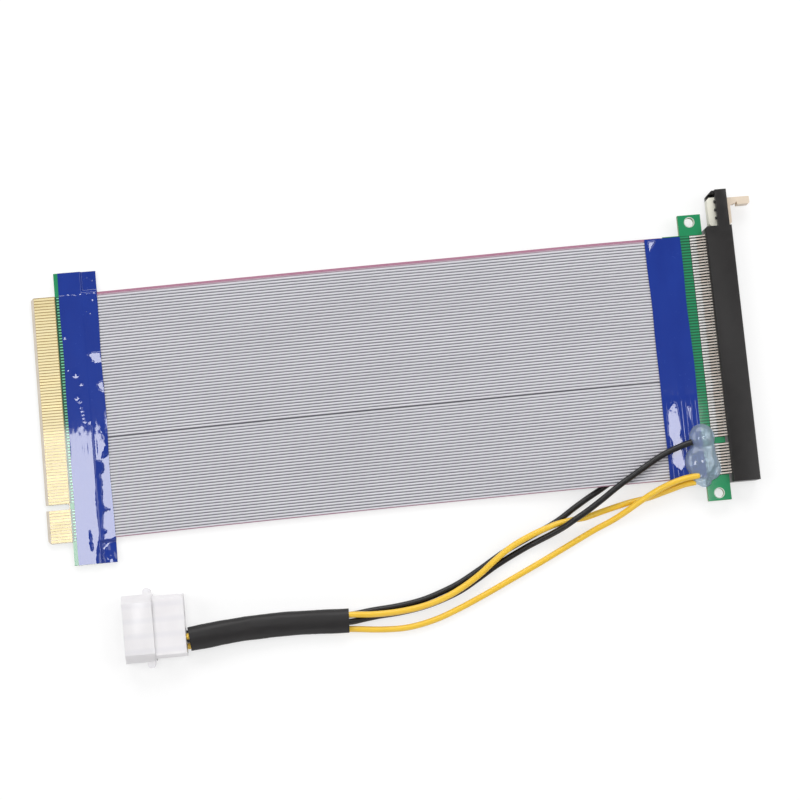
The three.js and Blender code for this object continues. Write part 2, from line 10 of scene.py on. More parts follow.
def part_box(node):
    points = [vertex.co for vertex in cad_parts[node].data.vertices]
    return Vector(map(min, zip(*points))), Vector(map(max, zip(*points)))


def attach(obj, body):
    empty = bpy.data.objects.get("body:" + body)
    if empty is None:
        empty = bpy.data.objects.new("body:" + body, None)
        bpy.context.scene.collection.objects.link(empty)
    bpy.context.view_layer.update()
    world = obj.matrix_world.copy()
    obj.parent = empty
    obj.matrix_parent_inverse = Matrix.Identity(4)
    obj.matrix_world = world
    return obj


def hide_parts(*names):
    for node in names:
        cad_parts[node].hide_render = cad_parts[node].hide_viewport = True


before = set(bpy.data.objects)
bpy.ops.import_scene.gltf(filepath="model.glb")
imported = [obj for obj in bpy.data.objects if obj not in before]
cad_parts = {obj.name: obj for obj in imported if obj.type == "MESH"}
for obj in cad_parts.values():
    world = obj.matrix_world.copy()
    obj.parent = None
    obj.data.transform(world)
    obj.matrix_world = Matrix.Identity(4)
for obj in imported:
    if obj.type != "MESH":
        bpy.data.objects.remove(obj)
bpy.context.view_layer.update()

MM = 0.001

# The part's own axes. Here X is counted from the tip of the card edge and Y from the
# middle of its key notch, in millimetres, as in the part's source.
EAR_BELOW_KEY = 20.1
edge_low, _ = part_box("edge_board")
tip_x = edge_low.x
key_y = edge_low.y + EAR_BELOW_KEY * MM


def at(x, y, z):
    """A place in the part's own millimetres, as a point of the frame."""
    return Vector((tip_x + x * MM, key_y + y * MM, z * MM))


def millimetres(point):
    """A point of the frame in the part's own millimetres."""
    return ((point.x - tip_x) / MM, (point.y - key_y) / MM, point.z / MM)


def node_range(node):
    """A node's lowest and highest corners in the part's own millimetres."""
    low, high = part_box(node)
    return millimetres(low), millimetres(high)


# Sizes that the part doesn't hold, in millimetres
PITCH = 1.0
KEY_TO_CONTACT = 1.5
SHORT_GROUP = 11
LONG_GROUP = 71
SLOT_SHIFT = 2.6
RIBBON_SHIFT = 2.05
LOWER_LAYER_SHIFT = 0.35
BOARD = 1.6
LAYER = 0.8
LAYER_GAP = 0.15
TAPE = 0.1
SEAT = 0.05
WIDE_WAYS = 50
NARROW_WAYS = 34
BESIDE_GAP = 0.25
RIBBON_MIDDLE = 0.25
SETTLE_LENGTH = 22.0
CLIMB_LENGTH = 71.0
LEVEL_LENGTH = 14.0
WIRE = 2.1
SLEEVE_WIDTH = 8.2
SLEEVE_HEIGHT = 4.9
SCREW_INSET = 2.6
SCREW_FROM_RIGHT = 4.05
BARE_RING = 1.86
TAIL_FOOT_X = 229.7
TAIL_BEND_X = 231
PLUG_PITCH = 5.08
LATCH_PLATE_INSET = 4.5
SPRING_INSET = 4.2

CONTACTS = [-KEY_TO_CONTACT - i * PITCH for i in range(SHORT_GROUP)]
CONTACTS += [KEY_TO_CONTACT + i * PITCH for i in range(LONG_GROUP)]
FIELD_MIDDLE = (CONTACTS[SHORT_GROUP - 1] + CONTACTS[-1]) / 2 + RIBBON_MIDDLE

(_, _, EDGE_BOARD_BOTTOM), (EDGE_BOARD_END, _, EDGE_BOARD_TOP) = node_range("edge_board")
EDGE_MIDDLE = (EDGE_BOARD_BOTTOM + EDGE_BOARD_TOP) / 2
(_, SLOT_LOW_Y, SLOT_BOTTOM), (SLOT_RIGHT, SLOT_HIGH_Y, SLOT_TOP) = node_range("slot_board")
SLOT_MIDDLE = (SLOT_BOTTOM + SLOT_TOP) / 2
(RIBBON_START, _, _), (RIBBON_END, _, _) = node_range("ribbon_wide_upper")
(_, PLUG_LOW_Y, _), (PLUG_BACK, PLUG_HIGH_Y, _) = node_range("plug_housing")
PLUG_MIDDLE = (PLUG_LOW_Y + PLUG_HIGH_Y) / 2
_, (HOUSING_FRONT, _, _) = node_range("slot_housing")


# Camera
def photo_camera():
    """Looks down as the photo does, from a fit to the contacts' pitch."""
    tilt = Matrix.Rotation(math.radians(6.238), 4, "X")
    swing = Matrix.Rotation(math.radians(-3.480), 4, "Y")
    roll = Matrix.Rotation(math.radians(-5.001), 4, "Z")
    data = bpy.data.cameras.new("camera")
    data.sensor_width = 36
    data.lens = 84.81
    camera = bpy.data.objects.new("camera", data)
    camera.matrix_world = Matrix.Translation(at(83.646, -43.944, 644.773)) @ tilt @ swing @ roll
    bpy.context.scene.collection.objects.link(camera)
    bpy.context.scene.camera = camera


photo_camera()


# Shader helpers
class Shading:
    """A material's node tree, with short calls for its nodes."""

    def __init__(self, name):
        self.material = bpy.data.materials.new(name)
        self.material.use_nodes = True
        self.nodes = self.material.node_tree.nodes
        self.links = self.material.node_tree.links
        self.surface = self.nodes["Principled BSDF"]

    def node(self, kind, **values):
        made = self.nodes.new(kind)
        for key, value in values.items():
            setattr(made, key, value)
        return made

    def link(self, source, target):
        self.links.new(source, target)

    def feed(self, node, **values):
        """Sets or links a node's inputs, by name with underscores for blanks."""
        for key, value in values.items():
            socket = node.inputs[key.replace("_", " ")]
            if isinstance(value, bpy.types.NodeSocket):
                self.links.new(value, socket)
            else:
                socket.default_value = value
        return node

    def maths(self, operation, first, second=0.0, third=None):
        made = self.node("ShaderNodeMath", operation=operation)
        for socket, value in zip(made.inputs, (first, second, third)):
            if isinstance(value, bpy.types.NodeSocket):
                self.links.new(value, socket)
            elif value is not None:
                socket.default_value = value
        return made.outputs[0]

    def mix(self, share, first, second):
        made = self.node("ShaderNodeMix", data_type="RGBA")
        sockets = (made.inputs[0], made.inputs[6], made.inputs[7])
        for socket, value in zip(sockets, (share, first, second)):
            if isinstance(value, bpy.types.NodeSocket):
                self.links.new(value, socket)
            else:
                socket.default_value = value
        return made.outputs[2]

    def place(self):
        return self.node("ShaderNodeTexCoord").outputs["Object"]

    def grain(self, vector, scale, depth, stretch=(1, 1, 1)):
        """The shared grain group, set for this material."""
        made = self.node("ShaderNodeGroup")
        made.node_tree = GRAIN
        self.feed(made, Coordinates=vector, Scale=scale, Depth=depth, Stretch=stretch)
        return made.outputs["Mottle"], made.outputs["Normal"]


def colour(red, green, blue):
    """An sRGB colour of 0 to 255 as Blender's linear one."""
    def linear(value):
        share = value / 255
        return share / 12.92 if share <= 0.04045 else ((share + 0.055) / 1.055) ** 2.4

    return (linear(red), linear(green), linear(blue), 1)


def grain_group():
    """Fine grain for moulded, drawn and coated surfaces: a mottle mask and a bumped normal."""
    group = bpy.data.node_groups.new("surface grain", "ShaderNodeTree")
    face = group.interface
    face.new_socket("Coordinates", in_out="INPUT", socket_type="NodeSocketVector")
    face.new_socket("Scale", in_out="INPUT", socket_type="NodeSocketFloat")
    face.new_socket("Depth", in_out="INPUT", socket_type="NodeSocketFloat")
    face.new_socket("Stretch", in_out="INPUT", socket_type="NodeSocketVector")
    face.new_socket("Mottle", in_out="OUTPUT", socket_type="NodeSocketFloat")
    face.new_socket("Normal", in_out="OUTPUT", socket_type="NodeSocketVector")
    nodes, links = group.nodes, group.links
    inward = nodes.new("NodeGroupInput")
    outward = nodes.new("NodeGroupOutput")
    stretched = nodes.new("ShaderNodeVectorMath")
    stretched.operation = "MULTIPLY"
    fine = nodes.new("ShaderNodeTexNoise")
    fine.inputs["Detail"].default_value = 4
    broad = nodes.new("ShaderNodeTexNoise")
    broad.inputs["Detail"].default_value = 2
    tenth = nodes.new("ShaderNodeMath")
    tenth.operation = "MULTIPLY"
    tenth.inputs[1].default_value = 0.12
    bump = nodes.new("ShaderNodeBump")
    bump.inputs["Strength"].default_value = 0.6
    links.new(inward.outputs["Coordinates"], stretched.inputs[0])
    links.new(inward.outputs["Stretch"], stretched.inputs[1])
    links.new(stretched.outputs[0], fine.inputs["Vector"])
    links.new(stretched.outputs[0], broad.inputs["Vector"])
    links.new(inward.outputs["Scale"], fine.inputs["Scale"])
    links.new(inward.outputs["Scale"], tenth.inputs[0])
    links.new(tenth.outputs[0], broad.inputs["Scale"])
    links.new(fine.outputs["Fac"], bump.inputs["Height"])
    links.new(inward.outputs["Depth"], bump.inputs["Distance"])
    links.new(broad.outputs["Fac"], outward.inputs["Mottle"])
    links.new(bump.outputs["Normal"], outward.inputs["Normal"])
    return group


GRAIN = grain_group()


# Materials
def shaded_plastic(name, base, dark, roughness, scale, depth, stretch=(1, 1, 1), coat=0.0):
    """A plastic whose colour drifts between two tones under a fine grain."""
    s = Shading(name)
    mottle, normal = s.grain(s.place(), scale, depth, stretch)
    tone = s.mix(mottle, dark, base)
    rough = s.maths("MULTIPLY_ADD", mottle, 0.16, roughness - 0.08)
    s.feed(s.surface, Base_Color=tone, Roughness=rough, Normal=normal, Coat_Weight=coat)
    return s.material


def solder_mask_material():
    """Green lacquer over laminate, lighter over the copper that runs to each contact, painted near
    black as shade under the socket's tails, and bare rings round the screw holes."""
    s = Shading("solder_mask")
    place = s.place()
    mottle, normal = s.grain(place, 900, 0.00002)
    xyz = s.node("ShaderNodeSeparateXYZ")
    s.link(place, xyz.inputs[0])
    green = s.mix(mottle, colour(4, 128, 78), colour(14, 150, 94))

    for shift, from_x, to_x, dark, light, half_width in (
        (0.0, 8.25, 8.75, colour(2, 70, 48), colour(2, 70, 48), 0.5),
        (0.0, 8.75, 20.0, colour(2, 70, 48), colour(120, 212, 170), 0.19),
        (SLOT_SHIFT, 210.0, 228.6, colour(0, 84, 52), colour(24, 142, 92), 0.27),
        # Painted shade: near black under the socket's tails, where shade falls between them.
        (SLOT_SHIFT, 228.6, 234.0, colour(8, 22, 16), colour(8, 22, 16), 0.5),
    ):
        first = at(0, shift + CONTACTS[0] - PITCH / 2, 0).y
        way = s.maths("FRACT", s.maths(
            "DIVIDE", s.maths("SUBTRACT", xyz.outputs[1], first), PITCH * MM))
        trace = s.maths("LESS_THAN", s.maths("ABSOLUTE", s.maths("SUBTRACT", way, 0.5)), half_width)
        share = None
        for low, high in ((0, SHORT_GROUP - 1), (SHORT_GROUP, len(CONTACTS) - 1)):
            ends = sorted((CONTACTS[low], CONTACTS[high]))
            middle = at(0, shift + sum(ends) / 2, 0).y
            half = ((ends[1] - ends[0]) / 2 + 0.5) * MM
            in_group = s.maths("LESS_THAN", s.maths(
                "ABSOLUTE", s.maths("SUBTRACT", xyz.outputs[1], middle)), half)
            share = in_group if share is None else s.maths("MAXIMUM", share, in_group)
        past = s.maths("GREATER_THAN", xyz.outputs[0], at(from_x, 0, 0).x)
        before = s.maths("LESS_THAN", xyz.outputs[0], at(to_x, 0, 0).x)
        share = s.maths("MULTIPLY", share, s.maths("MULTIPLY", past, before))
        green = s.mix(share, green, s.mix(trace, dark, light))
    bare = s.maths("LESS_THAN", xyz.outputs[0], at(8.2, 0, 0).x)
    green = s.mix(bare, green, s.mix(mottle, colour(158, 128, 76), colour(182, 152, 100)))

    ring = None
    for y in (SLOT_LOW_Y + SCREW_INSET, SLOT_HIGH_Y - SCREW_INSET):
        middle = at(SLOT_RIGHT - SCREW_FROM_RIGHT, y, 0)
        across = s.maths("SUBTRACT", xyz.outputs[0], middle.x)
        along = s.maths("SUBTRACT", xyz.outputs[1], middle.y)
        reach = s.maths("SQRT", s.maths(
            "ADD", s.maths("POWER", across, 2), s.maths("POWER", along, 2)))
        near = s.maths("LESS_THAN", reach, BARE_RING * MM)
        ring = near if ring is None else s.maths("MAXIMUM", ring, near)
    tone = s.mix(ring, green, colour(206, 212, 204))
    s.feed(s.surface, Base_Color=tone, Normal=normal, Roughness=0.36, Specular_IOR_Level=0.3,
           Coat_Weight=1.0, Coat_Roughness=0.05)
    return s.material


def laminate_material():
    """The cut edge of a board: pale glass cloth and resin, in fine layers."""
    s = Shading("laminate_edge")
    mottle, normal = s.grain(s.place(), 2200, 0.00003, (1, 1, 6))
    tone = s.mix(mottle, colour(120, 150, 110), colour(176, 190, 152))
    s.feed(s.surface, Base_Color=tone, Roughness=0.6, Normal=normal)
    return s.material


def gold_material():
    """Gold plate over copper, with rub marks from being plugged in."""
    s = Shading("contact_gold")
    mottle, normal = s.grain(s.place(), 2600, 0.00001, (0.12, 1, 1))
    tone = s.mix(mottle, colour(232, 214, 158), colour(246, 236, 194))
    rough = s.maths("MULTIPLY_ADD", mottle, 0.3, 0.22)
    s.feed(s.surface, Base_Color=tone, Roughness=rough, Metallic=0.4, Normal=normal)
    return s.material


def tinned_material():
    """Tinned contacts and solder."""
    s = Shading("tinned")
    mottle, normal = s.grain(s.place(), 1800, 0.00003)
    tone = s.mix(mottle, colour(212, 210, 206), colour(248, 247, 244))
    rough = s.maths("MULTIPLY_ADD", mottle, 0.3, 0.2)
    s.feed(s.surface, Base_Color=tone, Roughness=rough, Metallic=0.35, Normal=normal)
    return s.material


def tape_material():
    """Glossy blue film: mottled where it clings, with pale flecks of trapped air."""
    s = Shading("blue_tape")
    place = s.place()
    mottle, normal = s.grain(place, 1400, 0.00002, (1, 0.4, 1))
    tone = s.mix(mottle, colour(3, 42, 138), colour(12, 54, 154))
    fleck = s.node("ShaderNodeTexNoise")
    s.feed(fleck, Vector=place, Scale=900.0, Detail=3.0)
    air = s.maths("GREATER_THAN", fleck.outputs["Fac"], 0.7)
    tone = s.mix(s.maths("MULTIPLY", air, 0.3), tone, colour(60, 92, 184))
    rough = s.maths("MULTIPLY_ADD", mottle, 0.1, 0.3)
    s.feed(s.surface, Base_Color=tone, Roughness=rough, Normal=normal, Specular_IOR_Level=0.15,
           Coat_Weight=1.0, Coat_Roughness=0.03, Coat_IOR=1.55)
    return s.material


def ribbon_material():
    """Grey ribbon cable, with painted shade in its grooves, a red first wire and a painted pink
    highlight on the red wire's inner flank.
    """
    s = Shading("ribbon_grey")
    place = s.place()
    mottle, normal = s.grain(place, 700, 0.00002, (0.3, 1, 1))
    strip = s.node("ShaderNodeUVMap", uv_map="strip")
    uv = s.node("ShaderNodeSeparateXYZ")
    s.link(strip.outputs[0], uv.inputs[0])
    way = s.maths("FRACT", uv.outputs[1])
    from_crest = s.maths("ABSOLUTE", s.maths("SUBTRACT", way, 0.5))
    # Painted shade: the grooves between the wires are darkened as the shade that falls in them.
    painted_groove_shade = s.maths("MINIMUM", s.maths("MULTIPLY", s.maths("MAXIMUM", s.maths(
        "SUBTRACT", from_crest, 0.22), 0.0), 5.0), 1.0)
    grey = s.mix(mottle, colour(208, 207, 213), colour(222, 221, 227))
    tone = s.mix(painted_groove_shade, grey, colour(100, 99, 109))
    marked = s.maths("GREATER_THAN", uv.outputs[1], WIDE_WAYS - 0.66)
    # Painted highlight: a pale pink band on the inner flank of the red first wire.
    painted_pink_highlight = s.maths("GREATER_THAN", uv.outputs[1], WIDE_WAYS - 1.1)
    tone = s.mix(s.maths("MULTIPLY", painted_pink_highlight, 0.45), tone, colour(214, 168, 190))
    low_edge = s.maths("LESS_THAN", uv.outputs[1], 0.35)
    low_edge = s.maths("MULTIPLY", low_edge, s.maths("LESS_THAN", uv.outputs[0], 0.0))
    tone = s.mix(s.maths("MULTIPLY", marked, 0.85), tone, colour(160, 88, 120))
    tone = s.mix(s.maths("MULTIPLY", low_edge, 0.7), tone, colour(170, 110, 138))
    s.feed(s.surface, Base_Color=tone, Roughness=0.42, Normal=normal, Coat_Weight=0.15,
           Coat_Roughness=0.25)
    return s.material


def glue_material():
    """Hot glue: cloudy and glossy, its tone mottled at random."""
    s = Shading("hot_glue")
    place = s.place()
    mottle, normal = s.grain(place, 500, 0.00006)
    tone = s.mix(mottle, colour(184, 206, 226), colour(212, 228, 240))
    s.feed(s.surface, Base_Color=tone, Roughness=0.34, Normal=normal, Coat_Weight=1.0,
           Coat_Roughness=0.05, Coat_IOR=1.5, Transmission_Weight=0.7, IOR=1.12)
    return s.material


def latch_material():
    """Ivory plastic, warmer on the arm and paler on the plate inside the tower."""
    s = Shading("latch_ivory")
    place = s.place()
    mottle, normal = s.grain(place, 1500, 0.00002)
    xyz = s.node("ShaderNodeSeparateXYZ")
    s.link(place, xyz.inputs[0])
    arm = s.mix(mottle, colour(222, 204, 182), colour(238, 222, 202))
    plate = s.mix(mottle, colour(232, 230, 214), colour(246, 244, 230))
    inner = s.maths("LESS_THAN", xyz.outputs[0], at(HOUSING_FRONT - LATCH_PLATE_INSET, 0, 0).x)
    s.feed(s.surface, Base_Color=s.mix(inner, arm, plate), Roughness=0.4, Normal=normal)
    return s.material


def nylon_material():
    """Natural nylon: milky, with light inside it, and painted shade where its four bores show
    faintly through.
    """
    s = Shading("natural_nylon")
    place = s.place()
    mottle, normal = s.grain(place, 1200, 0.00002)
    xyz = s.node("ShaderNodeSeparateXYZ")
    s.link(place, xyz.inputs[0])
    tone = s.mix(mottle, colour(234, 231, 234), colour(250, 248, 250))
    middle = at(0, PLUG_MIDDLE, 0).y
    # Painted shade: darker bands over the four bores, as they look through the wall.
    painted_bore_shade = s.maths("COSINE", s.maths(
        "MULTIPLY", s.maths("SUBTRACT", xyz.outputs[1], middle), 2 * math.pi / (PLUG_PITCH * MM)))
    painted_bore_shade = s.maths("MAXIMUM", s.maths("MULTIPLY", painted_bore_shade, -1.0), 0.0)
    tone = s.mix(s.maths("MULTIPLY", painted_bore_shade, 0.2), tone, colour(214, 214, 224))
    s.feed(s.surface, Base_Color=tone, Roughness=0.32, Normal=normal, Coat_Weight=0.2,
           Coat_Roughness=0.15, Subsurface_Weight=0.35, Subsurface_Scale=0.003,
           Subsurface_Radius=(1, 1, 1))
    return s.material


solder_mask = solder_mask_material()
laminate = laminate_material()
gold = gold_material()
tinned = tinned_material()
tail_tin = shaded_plastic(
    "tail_tin", colour(240, 234, 226), colour(190, 174, 158), 0.3, 1800, 0.00002)
# Painted shade: dark brown for the tails' sideways faces, standing in for the shade between the
# tails.
tail_side_painted_shade = shaded_plastic(
    "tail_side_painted_shade", colour(84, 66, 52), colour(50, 38, 30), 0.5, 1800, 0.00002)
bevel_cut = shaded_plastic(
    "bevel_cut", colour(226, 216, 204), colour(204, 194, 176), 0.6, 2200, 0.00003)
tape_film = tape_material()
ribbon_grey = ribbon_material()
hot_glue = glue_material()
nylon = nylon_material()
socket_black = shaded_plastic(
    "socket_black", colour(34, 31, 31), colour(22, 20, 20), 0.36, 2400, 0.00003)
latch_ivory = latch_material()
yellow_pvc = shaded_plastic(
    "yellow_insulation", colour(255, 212, 66), colour(246, 196, 48), 0.34, 800, 0.00002,
    coat=0.3)
black_pvc = shaded_plastic(
    "black_insulation", colour(24, 23, 24), colour(14, 13, 14), 0.34, 800, 0.00002,
    coat=0.1)
shrink_black = shaded_plastic(
    "shrink_sleeve", colour(32, 29, 30), colour(18, 16, 17), 0.5, 1300, 0.00005)


# Pieces
def piece(name, form, materials, slot, *nodes, body="riser"):
    """Links a finished mesh as a piece that rides on a body and stands for some nodes."""
    mesh = bpy.data.meshes.new(name)
    form.to_mesh(mesh)
    form.free()
    for material in materials:
        mesh.materials.append(material)
    made = bpy.data.objects.new(name, mesh)
    bpy.context.scene.collection.objects.link(made)
    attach(made, body)
    if nodes:
        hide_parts(*nodes)
    return made


def smooth(form, limit=40):
    """Shades the faces smooth and keeps the edges sharper than limit degrees."""
    for face in form.faces:
        face.smooth = True
    for edge in form.edges:
        if len(edge.link_faces) == 2 and edge.calc_face_angle(0) > math.radians(limit):
            edge.smooth = False


def node_form(node):
    """A merged copy of a node's mesh, with its flat stretches as single faces."""
    form = bmesh.new()
    form.from_mesh(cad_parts[node].data)
    bmesh.ops.remove_doubles(form, verts=form.verts, dist=1e-6)
    bmesh.ops.dissolve_limit(
        form, angle_limit=math.radians(1), use_dissolve_boundaries=False,
        verts=form.verts, edges=form.edges, delimit={"NORMAL"},
    )
    return form


def round_edges(made, width, segments=2, limit=35, soft=True):
    """Rounds a piece's edges, as moulded or lacquered ones are. Boards stay hard to the light."""
    bevel = made.modifiers.new("edges", "BEVEL")
    bevel.width = width * MM
    bevel.segments = segments
    bevel.limit_method = "ANGLE"
    bevel.angle_limit = math.radians(limit)
    bevel.use_clamp_overlap = True
    bevel.harden_normals = soft
    for face in made.data.polygons:
        face.use_smooth = soft


def closed_sheet(across, along, outer, inner):
    """A thin closed solid from two facing grids. outer and inner place a point from its two
    shares, 0 to 1."""
    form = bmesh.new()
    for shape, flipped in ((outer, False), (inner, True)):
        grid = bmesh.ops.create_grid(form, x_segments=across, y_segments=along, size=0.5)
        for vertex in grid["verts"]:
            vertex.co = shape(vertex.co.x + 0.5, vertex.co.y + 0.5)
        if flipped:
            faces = {face for vertex in grid["verts"] for face in vertex.link_faces}
            bmesh.ops.reverse_faces(form, faces=list(faces))
    bmesh.ops.bridge_loops(form, edges=[edge for edge in form.edges if edge.is_boundary])
    return form


# Ribbons
LENGTH_STEPS = 48
WAY_STEPS = 6
WIRE_HALF = 0.4
WEB_HALF = 0.16


def ribbon_middle(x):
    """The height of the middle of both layers at x: it settles on the bench, lies, then climbs."""
    lying = LAYER_GAP / 2 + LAYER
    if x < RIBBON_START + SETTLE_LENGTH:
        share = (x - RIBBON_START) / SETTLE_LENGTH
        return EDGE_MIDDLE + share * (lying - EDGE_MIDDLE)
    climb_start = RIBBON_END - LEVEL_LENGTH - CLIMB_LENGTH
    share = min(max((x - climb_start) / CLIMB_LENGTH, 0), 1)
    return lying + share * share * (3 - 2 * share) * (SLOT_MIDDLE - lying)


def drift(x):
    """How far the ribbons have moved sideways at x."""
    left = (RIBBON_END - x) / (RIBBON_END - RIBBON_START)
    return RIBBON_SHIFT * (1 - left * left)


def wire_swell(way):
    """Half the ribbon's thickness at a place counted in ways: round wires in a thin web."""
    off = (way % 1 - 0.5) * PITCH
    return max(WEB_HALF, math.sqrt(max(WIRE_HALF ** 2 - (off * 0.93) ** 2, 0)))


def ribbon(name, node, ways, low_edge, side):
    """One bundle of one layer. side is 1 for the upper layer and -1 for the lower."""
    def surface(outward):
        def place(u, v):
            x = RIBBON_START + u * (RIBBON_END - RIBBON_START)
            way = min(v * ways, ways - 1e-6) if v < 1 else ways
            waver = 0.06 * noise.noise(Vector((x * 0.02, low_edge + v * 3, side)))
            centre = ribbon_middle(x) + side * (LAYER_GAP + LAYER) / 2
            return at(x, low_edge + v * ways * PITCH + drift(x) + waver,
                      centre + outward * side * wire_swell(way))
        return place

    form = closed_sheet(LENGTH_STEPS, ways * WAY_STEPS, surface(1), surface(-1))
    strip = form.loops.layers.uv.new("strip")
    for face in form.faces:
        for loop in face.loops:
            x, y, _ = millimetres(loop.vert.co)
            length = x if ways == WIDE_WAYS else -x
            loop[strip].uv = (length, (y - low_edge - drift(x)) / PITCH)
    if side < 0:
        bmesh.ops.reverse_faces(form, faces=form.faces)
    smooth(form, 60)
    return piece(name, form, [ribbon_grey], "ribbon", node)


def ribbons():
    for layer, side in (("upper", 1), ("lower", -1)):
        low_edge = FIELD_MIDDLE - (WIDE_WAYS + NARROW_WAYS + BESIDE_GAP) / 2
        if side < 0:
            low_edge += LOWER_LAYER_SHIFT
        high_edge = low_edge + NARROW_WAYS * PITCH + BESIDE_GAP
        ribbon(f"narrow_ribbon_{layer}", f"ribbon_narrow_{layer}", NARROW_WAYS, low_edge, side)
        ribbon(f"wide_ribbon_{layer}", f"ribbon_wide_{layer}", WIDE_WAYS, high_edge, side)


# Tapes
def hill(value, middle, width):
    """A smooth bump of height 1."""
    return math.exp(-((value - middle) / width) ** 2)


def rumple(x, y, seed):
    """Irregular waves, from -1 to 1."""
    return noise.noise(Vector((x, y, seed)))


def step(value, start, width):
    """Rises from 0 to 1 over a width past a start."""
    share = min(max((value - start) / width, 0), 1)
    return share * share * (3 - 2 * share)


def window(value, low, high, soft):
    """1 between two places and 0 outside them."""
    return step(value, low - soft / 2, soft) * (1 - step(value, high - soft / 2, soft))


def inside(x, y, corners, soft=0.25):
    """1 inside a convex outline of corners that run anticlockwise, and 0 outside it."""
    nearest = soft
    for (x1, y1), (x2, y2) in zip(corners, corners[1:] + corners[:1]):
        length = math.hypot(x2 - x1, y2 - y1)
        off = ((x2 - x1) * (y - y1) - (y2 - y1) * (x - x1)) / length
        nearest = min(nearest, off)
    return step(nearest, 0, soft)


def between(y, stations):
    """The two values that stations, which fall in Y, give at y, or None past their ends."""
    for (y1, *first), (y2, *second) in zip(stations, stations[1:]):
        if y2 <= y <= y1:
            share = (y1 - y) / (y1 - y2)
            return [a + share * (b - a) for a, b in zip(first, second)]
    return None


def bubble(x, y, middle, radius, height):
    """A round blister's height at a place."""
    return height * math.exp(-((x - middle[0]) ** 2 + (y - middle[1]) ** 2) / radius ** 2)


# Bubbles of air under the film on the edge board: place and radius
BUBBLES = [
    ((10.6, 58.0), 0.7), ((13.4, 45.0), 0.95), ((15.1, 41.6), 0.6), ((13.5, 37), 0.75),
    ((14.1, 35.6), 0.5), ((14.3, 33.4), 0.42), ((14.7, 32.1), 0.36), ((14.9, 30.9), 0.36),
    ((15.1, 29.7), 0.36), ((15.3, 28.6), 0.36), ((17.0, 28.2), 0.4),
    ((19.6, 78.4), 0.5), ((20.5, 77.6), 0.4), ((21.4, 77.2), 0.5), ((21.0, 70.3), 0.6),
    ((21.8, 71.2), 0.45), ((18.6, 66.4), 0.35), ((19.9, 65.6), 0.4), ((10.9, 46.6), 0.35),
]
# The dark channel where the film bridges the step from the board to the ribbon, as Y and the
# two X that it lies between
CHANNEL = [
    (27, 17.65, 17.9), (14.7, 17.65, 17.95), (14.3, 17.5, 20), (12.5, 17.4, 20.5),
    (10.7, 17.4, 20.3), (10, 17.5, 19.2), (7, 17.5, 19.5), (3.3, 17, 19.3), (0.5, 16.9, 19),
    (-1.4, 17, 19.6), (-2.2, 17, 21.2), (-2.8, 17, 19.1), (-6, 17.1, 18.7), (-8.5, 17.4, 18.3),
    (-9.5, 17.6, 20), (-10.4, 17.2, 18.8), (-13, 16.6, 18.2), (-16, 15.9, 18), (-21, 15.5, 17.6),
]
CHANNEL_BRANCH = [
    (27.6, 20.9, 21), (26.2, 20.3, 22), (24.6, 20.6, 22.2), (23, 21.3, 23), (20, 21.5, 23),
    (18, 21, 22.6), (16.6, 20.1, 22.3), (15.2, 19.9, 20.4),
]
TEAR = [
    (-8.6, 14.1, 14.2), (-10, 13.8, 14.5), (-13, 13.7, 14.7), (-15, 14, 14.9), (-15.8, 14.4, 14.6),
]
# Where the film has let go and leans back to the light
LIFTED = [
    [(17.7, 51.3), (19.4, 48.9), (20.6, 48.1), (22.8, 48.4), (22.8, 52), (19.2, 51.9)],
    [(19.8, 41.3), (20.8, 39.3), (22, 38), (22.8, 37.9), (22.8, 43.2), (22.2, 42.9), (21, 41.6)],
    [(21.7, 29), (22.8, 28), (22.8, 32.6), (22, 31)],
]
FOLD = (24.0, -19.0)
FOLD_RADIUS = 7.4


def edge_tape_swell(x, y):
    """How far the tape on the edge board stands off, in millimetres."""
    ragged = 0.22 * rumple(x * 0.9, y * 0.9, 14) + 0.12 * rumple(x * 2.3, y * 2.3, 15)
    high = 0.06 + 0.02 * rumple(x * 0.1, y * 0.04, 3) + 0.003 * rumple(x * 0.9, y * 0.5, 11)
    ends_lean = 0.007 * rumple(x * 0.42, 0.5, 7) + 0.004 * rumple(x * 1.5, 2.5, 8)
    high += window(y, 17, 34, 8) * (y - 26) * ends_lean
    for stations in (CHANNEL, CHANNEL_BRANCH, TEAR):
        span = between(y, stations)
        if span:
            left, right = span
            wide = right - left > 0.5
            if wide:
                left, right = left + 0.5 * ragged, right + 1.6 * ragged
            rise = 0.14 * (x - left) + 0.04 * rumple(x * 1.1, y * 0.8, 18)
            high += window(x, left, right, 0.22) * (rise if wide else 0.05)
    crease = 72.6 + 0.35 * rumple(x * 0.35, 5, 5) + 0.15 * rumple(x * 1.4, 5, 6)
    high += max(0.034 + 0.045 * rumple(x * 0.9, 1, 8), 0) * hill(y, crease, 0.42)
    high += 0.006 * hill(x, EDGE_BOARD_END - 0.2, 0.5) * (0.6 + rumple(2, y * 0.3, 12))
    for corners in LIFTED:
        share = inside(x + ragged, y + ragged, corners)
        high += share * 0.06 * (y - min(corner[1] for corner in corners))
    reach = math.hypot(x - FOLD[0], y - FOLD[1]) - FOLD_RADIUS
    if reach < 1.5 and y < -9:
        reach += 0.5 * ragged
        high += 0.12 * step(-reach, 0, 0.3)
        folds = 0.13 * (-reach - 1.1) + 0.09 * math.sin(1.3 * x + 0.9 * y)
        high += step(-reach, 1.1, 0.3) * (folds + 0.08 * rumple(x * 0.6, y * 0.6, 2))
    for middle, radius in BUBBLES:
        high += bubble(x, y, middle, radius, 0.1 * radius)
    return max(high, 0)


